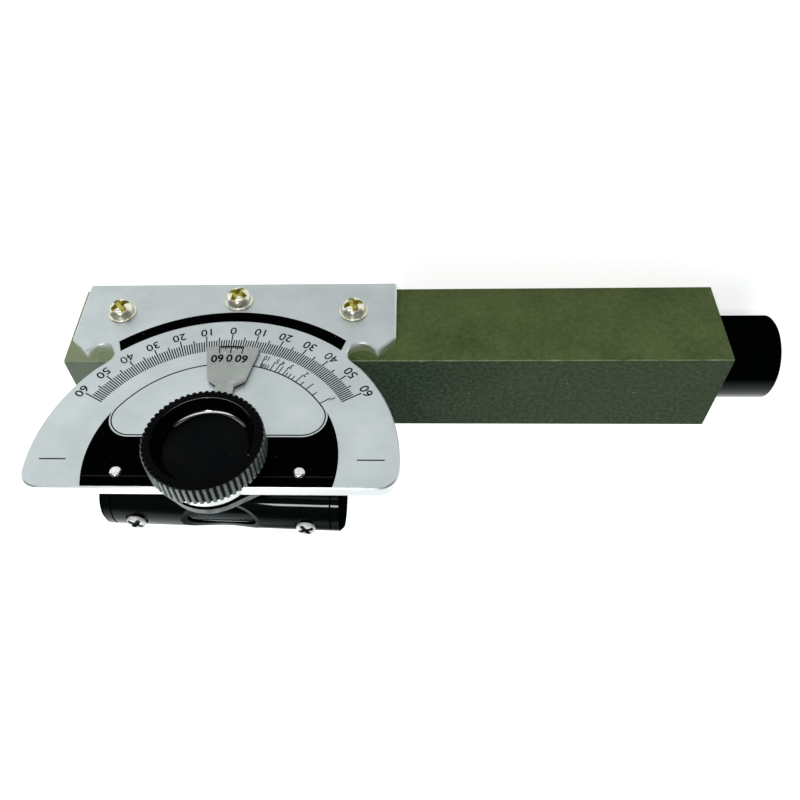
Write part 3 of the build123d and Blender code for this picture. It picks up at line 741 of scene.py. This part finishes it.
def buildWindow():
    # The thin line round the bare window of the dial, and the black field above it.
    # Formula: the line follows a fillet, an arc round the pivot and the other fillet, mirrored; the
    # field lies between a larger arc and its straight edge, and a gap away from the fillets
    centre, turn = filletArc(window["radius"], window["fillet"], window["drop"], window["cornerSteps"])
    corner = centre + window["fillet"] * np.column_stack([np.cos(turn), np.sin(turn)])
    end = math.degrees(math.atan2(corner[-1][0], -corner[-1][1]))
    arc = fromDown(-np.linspace(end, -end, window["arcSteps"])[1:-1], window["radius"])
    other = corner[::-1] * [-1, 1]
    path = np.concatenate([corner, arc, other])
    ahead = np.roll(path, -1, axis=0) - np.roll(path, 1, axis=0)
    ahead /= np.linalg.norm(ahead, axis=1)[:, None]
    side = np.column_stack([ahead[:, 1], -ahead[:, 0]]) * window["line"] / 2
    addPrint("window_line", slab(path - side, path + side, **film, loop=True))

    # The field's tip is where its arc meets the circle of the gap: the law of cosines gives its angle
    gapRadius = window["fillet"] + window["gap"]
    away = float(np.linalg.norm(centre))
    swing = math.acos(
        (field["radius"] ** 2 + away ** 2 - gapRadius ** 2) / (2 * field["radius"] * away)
    )
    tipTurn = math.atan2(centre[1], centre[0]) + swing
    tip = field["radius"] * np.array([math.cos(tipTurn), math.sin(tipTurn)])
    tipOnCorner = math.atan2(tip[1] - centre[1], tip[0] - centre[0])
    cornerTurn = np.linspace(tipOnCorner, math.pi / 2, field["cornerSteps"])
    innerCorner = centre + gapRadius * np.column_stack([np.cos(cornerTurn), np.sin(cornerTurn)])
    topTurn = math.asin(field["edge"] / field["radius"])
    outerTurn = np.linspace(tipTurn, topTurn, field["cornerSteps"])
    outerCorner = field["radius"] * np.column_stack([np.cos(outerTurn), np.sin(outerTurn)])
    straight = np.linspace(1, -1, field["lineSteps"])[1:-1]
    flat = np.ones(len(straight))
    innerLine = np.column_stack([straight * innerCorner[-1][0], flat * innerCorner[-1][1]])
    outerLine = np.column_stack([straight * outerCorner[-1][0], flat * field["edge"]])
    inner = np.concatenate([innerCorner, innerLine, innerCorner[::-1] * [-1, 1]])
    outer = np.concatenate([outerCorner, outerLine, outerCorner[::-1] * [-1, 1]])
    addPrint("black_field", slab(inner, outer, **film), "ink")
    half = math.sqrt(field["radius"] ** 2 - field["seam"] ** 2) - field["seamShort"]
    ends = np.array([[-half, field["seam"]], [half, field["seam"]]])
    rise = [0, field["seamWidth"] / 2]
    addPrint("field_seam", slab(ends - rise, ends + rise, **seam), "seam")


def buildGradient():
    # Formula: a slope of 1 in n stands at the angle whose tangent is 1 / n from the zero
    parts, numbers = [], []
    for kind in ("long", "middle", "short"):
        angles = gradient["zero"] + np.degrees(np.arctan(1 / np.array(gradient[kind])))
        end = gradient[kind + "End"]
        parts.append(ticks(angles, window["radius"], end, gradient["tickWidth"], **film))
    addPrint("gradient_ticks", join(parts))
    for slope in gradient["long"]:
        angle = gradient["zero"] + math.degrees(math.atan(1 / slope)) + gradient["numberLead"]
        numbers.append(numberAt(
            str(slope), angle, gradient["numberRadius"], gradient["numberHeight"], gradient["squeeze"]
        ))
    addPrint("gradient_numbers", join(numbers))


def buildVernier():
    # The vernier's lines lie on the arm's face, and turn with it.
    # Formula: its span is divided evenly each way, and the ticks hang inwards from an arc
    lift = (pivot["y"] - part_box("index_arm")[0][1]) / mm
    count = np.arange(-vernier["parts"], vernier["parts"] + 1)
    angles = count * vernier["span"] / vernier["parts"] + vernier["shift"]
    ends = np.where(
        count % vernier["parts"] == 0, vernier["longEnd"],
        np.where(count % vernier["middleEvery"] == 0, vernier["middleEnd"], vernier["shortEnd"]),
    )
    raised = {edge: height + lift for edge, height in film.items()}
    around = np.linspace(-vernier["span"], vernier["span"], vernier["lineSteps"]) + vernier["shift"]
    inner = fromDown(around, vernier["radius"] - vernier["lineWidth"])
    outer = fromDown(around, vernier["radius"])
    lines = ticks(angles, vernier["radius"], ends, vernier["tickWidth"], **raised)
    addPrint("vernier_ticks", join([lines, slab(inner, outer, **raised)]), onArm=True)
    addPrint("vernier_numbers", join([
        numberAt(
            text, side * vernier["numberAngle"] + vernier["shift"], vernier["numberRadius"],
            vernier["numberHeight"], vernier["squeeze"], lift, vernier["bold"],
        )
        for text, side in (("60", -1), ("0", 0), ("60", 1))
    ]), onArm=True)


buildDial()
buildWindow()
buildGradient()
buildVernier()
print("print on the dial done")


# Screws, pins and the knob

plateScrew = dict(
    radius=2.5, height=2.4, flange=2.8, flangeHeight=0.3, roundness=2.6, shank=1.48, length=3.6,
    slotHalf=0.5, slotReach=1.85, slotDepth=1.5, steps=144,
    turns=(20, 65, 40), offset=23.2, sideDrop=35.6, middleDrop=38.7,
)
adjuster = dict(
    radius=1.72, height=1.6, flange=0, roundness=6.0, shank=0.98, length=3.8, under=0.85, neck=1.2,
    slotHalf=0.36, slotReach=1.45, slotDepth=0.95, steps=128,
    turns=(25, 55), offset=15.45, lift=0.05,
)
pin = dict(
    radius=1.13, height=0.9, flange=0, roundness=3.0, shank=0.78, length=2.0, steps=48,
    offset=15.7, rise=2.9,
)
cross = dict(
    wide=1.25, taper=0.35,  # shares of slotHalf: a bar's half width in the middle, its loss at the ends
    heart=2.6,  # share of slotHalf: the half diagonal of the square in the middle
    deep=1.1, rise=0.55,  # shares of slotDepth: in the middle, and its loss at the ends
    wall=0.14,  # mm, how wide a wall slopes
    whole=0.3,  # share of the head's height that isn't cut, from below
)


def arcPoints(centre, radius, start, end, steps):
    # Formula: (c + r cos a, c + r sin a) for angles from start to end in degrees
    turn = np.radians(np.linspace(start, end, steps))
    return np.column_stack([centre[0] + radius * np.cos(turn), centre[1] + radius * np.sin(turn)])


def domeHead(sizes):
    # Formula: the head's height falls as (1 - (r / R) ^ roundness) ^ 0.5 above a short straight side;
    # then a flange with a rounded edge or a narrow neck, where there is one, and the shank
    rings, straight, gap = 46, 0.25, 0.02  # the side's share of the head's height, and mm to the flange
    share = np.sin(np.linspace(0, 1, rings) * math.pi / 2)
    radius = share * sizes["radius"]
    under = sizes.get("under", 0.0)
    side = under + straight * (sizes["height"] - under)
    dome = side + (sizes["height"] - side) * np.sqrt(np.clip(1 - share ** sizes["roundness"], 0, 1))
    parts = [np.column_stack([radius, dome])]
    if sizes["flange"]:
        half = sizes["flangeHeight"] / 2
        edge = arcPoints((sizes["flange"] - half, half), half, 90, -90, 8)
        parts += [[(sizes["radius"] + gap, 2 * half)], edge]
    else:
        parts += [[(sizes["radius"], under)]]
    if under:
        parts += [[(sizes["neck"], under), (sizes["neck"], 0.0)]]
    below = [(sizes["shank"], 0.0), (sizes["shank"], -sizes["length"]), (0.0, -sizes["length"])]
    return np.concatenate(parts + [below])


def smoothStep(share):
    # Formula: 3 s squared less 2 s cubed, from 0 to 1
    share = np.clip(share, 0, 1)
    return share * share * (3 - 2 * share)


def crossSlots(sizes):
    # Formula: the head sinks where a point lies inside a cross of two bars or the square between them,
    # deepest in the middle, with sloping walls
    def sink(angle, radius, height):
        x, y = np.abs(radius * np.cos(angle)), np.abs(radius * np.sin(angle))
        half, reach = sizes["slotHalf"], sizes["slotReach"]
        taper = half * (cross["wide"] - cross["taper"] * np.maximum(x, y) / reach)
        bars = np.minimum(np.maximum(x - taper, y - reach), np.maximum(x - reach, y - taper))
        heart = (x + y) - cross["heart"] * half
        share = smoothStep(0.5 - np.minimum(bars, heart) / cross["wall"])
        floor = sizes["height"] - sizes["slotDepth"] * (cross["deep"] - cross["rise"] * radius / reach)
        sunk = height + (np.minimum(floor, height) - height) * share
        return radius, np.where(height > cross["whole"] * sizes["height"], sunk, height)
    return sink


def slotFinish(sizes):
    # The faces of the cross slot take the second material, those that the slot sinks by a tenth of its
    # depth; the neck under a thin head takes it too, as painted shade under the head
    radius, height = domeHead(sizes).T
    steps = sizes["steps"]
    angle = (np.arange(steps) + 0.5) * 2 * math.pi / steps
    middle, level = (radius[1:] + radius[:-1]) / 2, (height[1:] + height[:-1]) / 2
    r, a = np.meshgrid(middle, angle, indexing="ij")
    z = np.repeat(level[:, None], steps, axis=1)
    sunk = z - crossSlots(sizes)(a, r, z)[1]
    neck = z < sizes.get("under", 0.0) - 0.01
    return ((sunk > 0.1 * sizes["slotDepth"]) | neck).astype(int).ravel()


def spun(points, turn):
    # Formula: turned about z by an angle in degrees
    c, s = math.cos(math.radians(turn)), math.sin(math.radians(turn))
    x, y, z = points[..., 0], points[..., 1], points[..., 2]
    return np.stack([x * c - y * s, x * s + y * c, z], axis=-1)


def buildScrews():
    # Three screws under the dial, a pin head either side of the pivot and two screws on the level
    parts = []
    for side, turn in zip((-1, 0, 1), plateScrew["turns"]):
        drop = plateScrew["sideDrop" if side else "middleDrop"]
        spot = [side * plateScrew["offset"], -drop, 0.0]
        parts.append(turned(
            domeHead(plateScrew), plateScrew["steps"], swell=crossSlots(plateScrew),
            place=lambda p, spot=spot, turn=turn: spun(p, turn) + spot,
        ))
    points, faces = join(parts)
    addPiece(
        "plate_screw_heads", points, faces, [looks["zinc"], looks["slots"]], "frame",
        ["plate_screws"], angle=50, finish=np.tile(slotFinish(plateScrew), len(parts)),
    )

    parts = []
    for side in (-1, 1):
        spot = [side * pin["offset"], pin["rise"], 0.0]
        parts.append(turned(domeHead(pin), pin["steps"], place=lambda p, spot=spot: p + spot))
    points, faces = join(parts)
    addPiece(
        "stop_pin_heads", points, faces, looks["nickel"], "frame", ["stop_pins"],
        angle=50,
    )

    # The adjusting screws stand upright on the level: their own z is the pivot frame's y
    low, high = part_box("level_housing")
    depth = (low[1] + high[1]) / 2
    middle = (low[0] + high[0]) / 2 / mm - pivot["x"] / mm
    low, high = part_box("front_vial_seat")
    seat = (high[1] - low[1]) / 2 / mm + adjuster["lift"]
    parts = []
    for side, turn in zip((-1, 1), adjuster["turns"]):
        def upright(p, side=side, turn=turn):
            p = spun(p, turn)
            return np.stack([
                p[..., 0] + side * adjuster["offset"] + middle, p[..., 2] + seat,
                -p[..., 1] - (depth - pivot["y"]) / mm,
            ], axis=-1)
        parts.append(turned(domeHead(adjuster), adjuster["steps"], True, crossSlots(adjuster), upright))
    points, faces = join(parts)
    addPiece(
        "adjusting_screw_heads", points, faces, [looks["satinNickel"], looks["tarnishAndShade"]], "level_arm",
        ["adjusting_screws"], angle=50,
        finish=np.tile(slotFinish(adjuster), len(parts)),
    )


knob = dict(
    ridges=58, samples=14, groove=0.42, bevel=0.35, mouth=8.6, mouthBevel=0.13, floor=7.8,
    floorBevel=1.39, depth=2.75, capThickness=0.5, hole=1.56, sink=2.72, sinkDepth=1.2, boss=6.4,
    bossHeight=0.5, backRim=1.5, overCap=0.006,
    inside=0.002,  # mm, keeps the rim inside the CAD box
    flat=0.2, flank=0.18,  # shares of a ridge's width, from its crest's middle out
    nearRim=0.35,  # the grooves' share of their depth at the inner end of the rim's bevel
)


def buildKnob():
    # Formula: a profile round the axis, with a rim of ridges, a rounded mouth and a dish with the cap
    low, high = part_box("knob")
    outer = (high[0] - low[0]) / 2 / mm - knob["inside"]
    back, front = (pivot["y"] - high[1]) / mm, (pivot["y"] - low[1]) / mm
    floor = front - knob["depth"]
    bevel, lip, foot = knob["bevel"], knob["mouthBevel"], knob["floorBevel"]
    under = back + knob["bossHeight"]
    seat = floor - knob["capThickness"]
    # The floor's edge is a shallow hollow that lies over the cap's edge
    steep, shallow = 48, 72  # degrees round the hollow's centre, where its slope is 42 and then 18
    edge = floor + knob["overCap"]
    hollow = (
        knob["floor"] - foot * math.cos(math.radians(steep)),
        floor + 2 * knob["overCap"] + foot * math.sin(math.radians(shallow)),
    )
    side = np.linspace(under + bevel, front - bevel, 5)[1:-1]
    # Each part of the profile with its finish: plain plastic, rubbed ridges or cut edge
    parts = (
        (0, [(knob["hole"], back), (knob["boss"], back)]),
        (0, [(knob["boss"], under), (outer - knob["backRim"], under)]),
        (1, arcPoints((outer - bevel, under + bevel), bevel, -90, 0, 6)),
        (1, np.column_stack([np.full(3, outer), side])),
        (1, arcPoints((outer - bevel, front - bevel), bevel, 0, 45, 4)),
        (0, arcPoints((outer - bevel, front - bevel), bevel, 60, 90, 3)),
        (2, arcPoints((knob["mouth"] + 0.6 * lip, front - lip), lip, 90, 140, 5)),
        (0, [(knob["mouth"] - 0.2 * lip, front - 1.1 * lip)]),
        (2, arcPoints(hollow, foot, -steep, -shallow, 5)),
        (0, [(hollow[0] + foot * math.cos(math.radians(shallow)), edge)]),
        (0, [(knob["floor"], edge), (knob["floor"], seat), (knob["sink"], seat)]),
        (0, [(knob["hole"], seat - knob["sinkDepth"]), (knob["hole"], back)]),
    )
    profile = np.concatenate([points for finish, points in parts])
    finish = np.concatenate([np.full(len(points), finish) for finish, points in parts])[:-1]

    def knurl(angle, radius, height):
        # Formula: the rim sinks by the groove's depth between ridges, as a smooth step of the angle
        share = np.abs((angle * knob["ridges"] / (2 * math.pi)) % 1 - 0.5)
        dip = smoothStep((share - knob["flat"]) / knob["flank"])
        near = np.clip((radius - (outer - bevel)) / bevel + knob["nearRim"], 0, 1)
        return radius - knob["groove"] * dip * near, height

    steps = knob["ridges"] * knob["samples"]
    points, faces = turned(profile, steps, True, knurl)
    addPiece(
        "knurled_knob", points, faces, [looks["knob"], looks["ridges"], looks["cut"]], "level_arm",
        ["knob"], angle=60, finish=np.repeat(finish, steps),
    )


buildScrews()
buildKnob()
print("screws and knob done")


# Floor, light and camera

studio = dict(
    floorSize=6.0, floorColour="#e6e7e6", floorGlow=0.66, glowColour="#ffffff", worldColour="#d7dadd",
    worldStrength=0.2,
)


def buildStudio():
    # A pale floor that glows where the camera, a reflection or the glass shows it, and a dim even sky
    half = studio["floorSize"] / 2
    mesh = bpy.data.meshes.new("floor")
    corners = [(-half, -half, 0), (half, -half, 0), (half, half, 0), (-half, half, 0)]
    mesh.from_pydata(corners, [], [(0, 1, 2, 3)])
    floor = bpy.data.objects.new("floor", mesh)
    bpy.context.collection.objects.link(floor)
    material, tree = startMaterial("pale studio floor")[:2]
    rays = addNode(tree, "LightPath").outputs
    indirect = sums(tree, "MAXIMUM", rays["Is Glossy Ray"], rays["Is Transmission Ray"])
    seen = sums(tree, "MAXIMUM", rays["Is Camera Ray"], indirect)
    paper = addNode(tree, "BsdfDiffuse", {"Color": linear(studio["floorColour"])})
    strength = sums(tree, "MULTIPLY", seen, studio["floorGlow"])
    glow = addNode(tree, "Emission", {"Color": linear(studio["glowColour"]), "Strength": strength})
    both = addNode(tree, "AddShader", {0: paper.outputs[0], 1: glow.outputs[0]})
    addNode(tree, "OutputMaterial", {"Surface": both.outputs[0]})
    mesh.materials.append(material)

    world = bpy.data.worlds.new("studio")
    world.use_nodes = True
    tree = world.node_tree
    tree.nodes.clear()
    colour, strength = linear(studio["worldColour"]), studio["worldStrength"]
    sky = addNode(tree, "Background", {"Color": colour, "Strength": strength})
    addNode(tree, "OutputWorld", {"Surface": sky.outputs[0]})
    bpy.context.scene.world = world


# Area lamps in metres and watts, all aimed at one point
lamps = dict(
    key=dict(place=(0.08, -0.77, 0.33), size=(1.3, 0.22), power=2.4, colour="#fefffc"),
    strip=dict(place=(0.075, -0.35, 0.53), size=(0.1, 0.07), power=0.75, colour="#fbfcff"),
    back=dict(place=(0.58, 0.6, 0.5), size=(1.0, 1.3), power=7.0, colour="#f2fafa"),
    side=dict(place=(-0.45, 0.6, 0.5), size=(1.1, 1.3), power=4.0, colour="#f2fafa"),
)
aim = Vector((-0.03, 0.0, 0.03))


def buildLamps():
    for name, lamp in lamps.items():
        light = bpy.data.lights.new(name, "AREA")
        light.shape = "RECTANGLE"
        light.size, light.size_y = lamp["size"]
        light.energy = lamp["power"]
        light.color = linear(lamp["colour"])[:3]
        holder = bpy.data.objects.new(name, light)
        holder.location = lamp["place"]
        holder.rotation_euler = (aim - Vector(lamp["place"])).to_track_quat("-Z", "Y").to_euler()
        bpy.context.collection.objects.link(holder)


# The photo's camera, solved from the tube and the plate; it is rolled over, upside down to the level
view = dict(
    place=(-33.64, -118.55, 117.74),  # mm
    ahead=(0.05489, 0.80660, -0.58854),
    right=(-0.99849, 0.04225, -0.03522),
    focalPixels=764.35, frame=800, middle=(364.27, 439.59),  # pixels
    sensor=36.0, clip=5.0,  # mm
)


def buildCamera():
    data = bpy.data.cameras.new("camera")
    data.sensor_width = view["sensor"]
    data.lens = view["focalPixels"] / view["frame"] * view["sensor"]
    data.shift_x = 0.5 - view["middle"][0] / view["frame"]
    data.shift_y = view["middle"][1] / view["frame"] - 0.5
    data.clip_start = view["clip"] * mm
    holder = bpy.data.objects.new("camera", data)
    ahead, right = Vector(view["ahead"]).normalized(), Vector(view["right"]).normalized()
    up = right.cross(ahead).normalized()
    turn = Matrix((right, up, -ahead)).transposed().to_4x4()
    holder.matrix_world = Matrix.Translation(Vector(view["place"]) * mm) @ turn
    bpy.context.collection.objects.link(holder)
    bpy.context.scene.camera = holder


buildStudio()
buildLamps()
buildCamera()
bpy.context.scene.view_settings.view_transform = "Standard"
print("studio done")
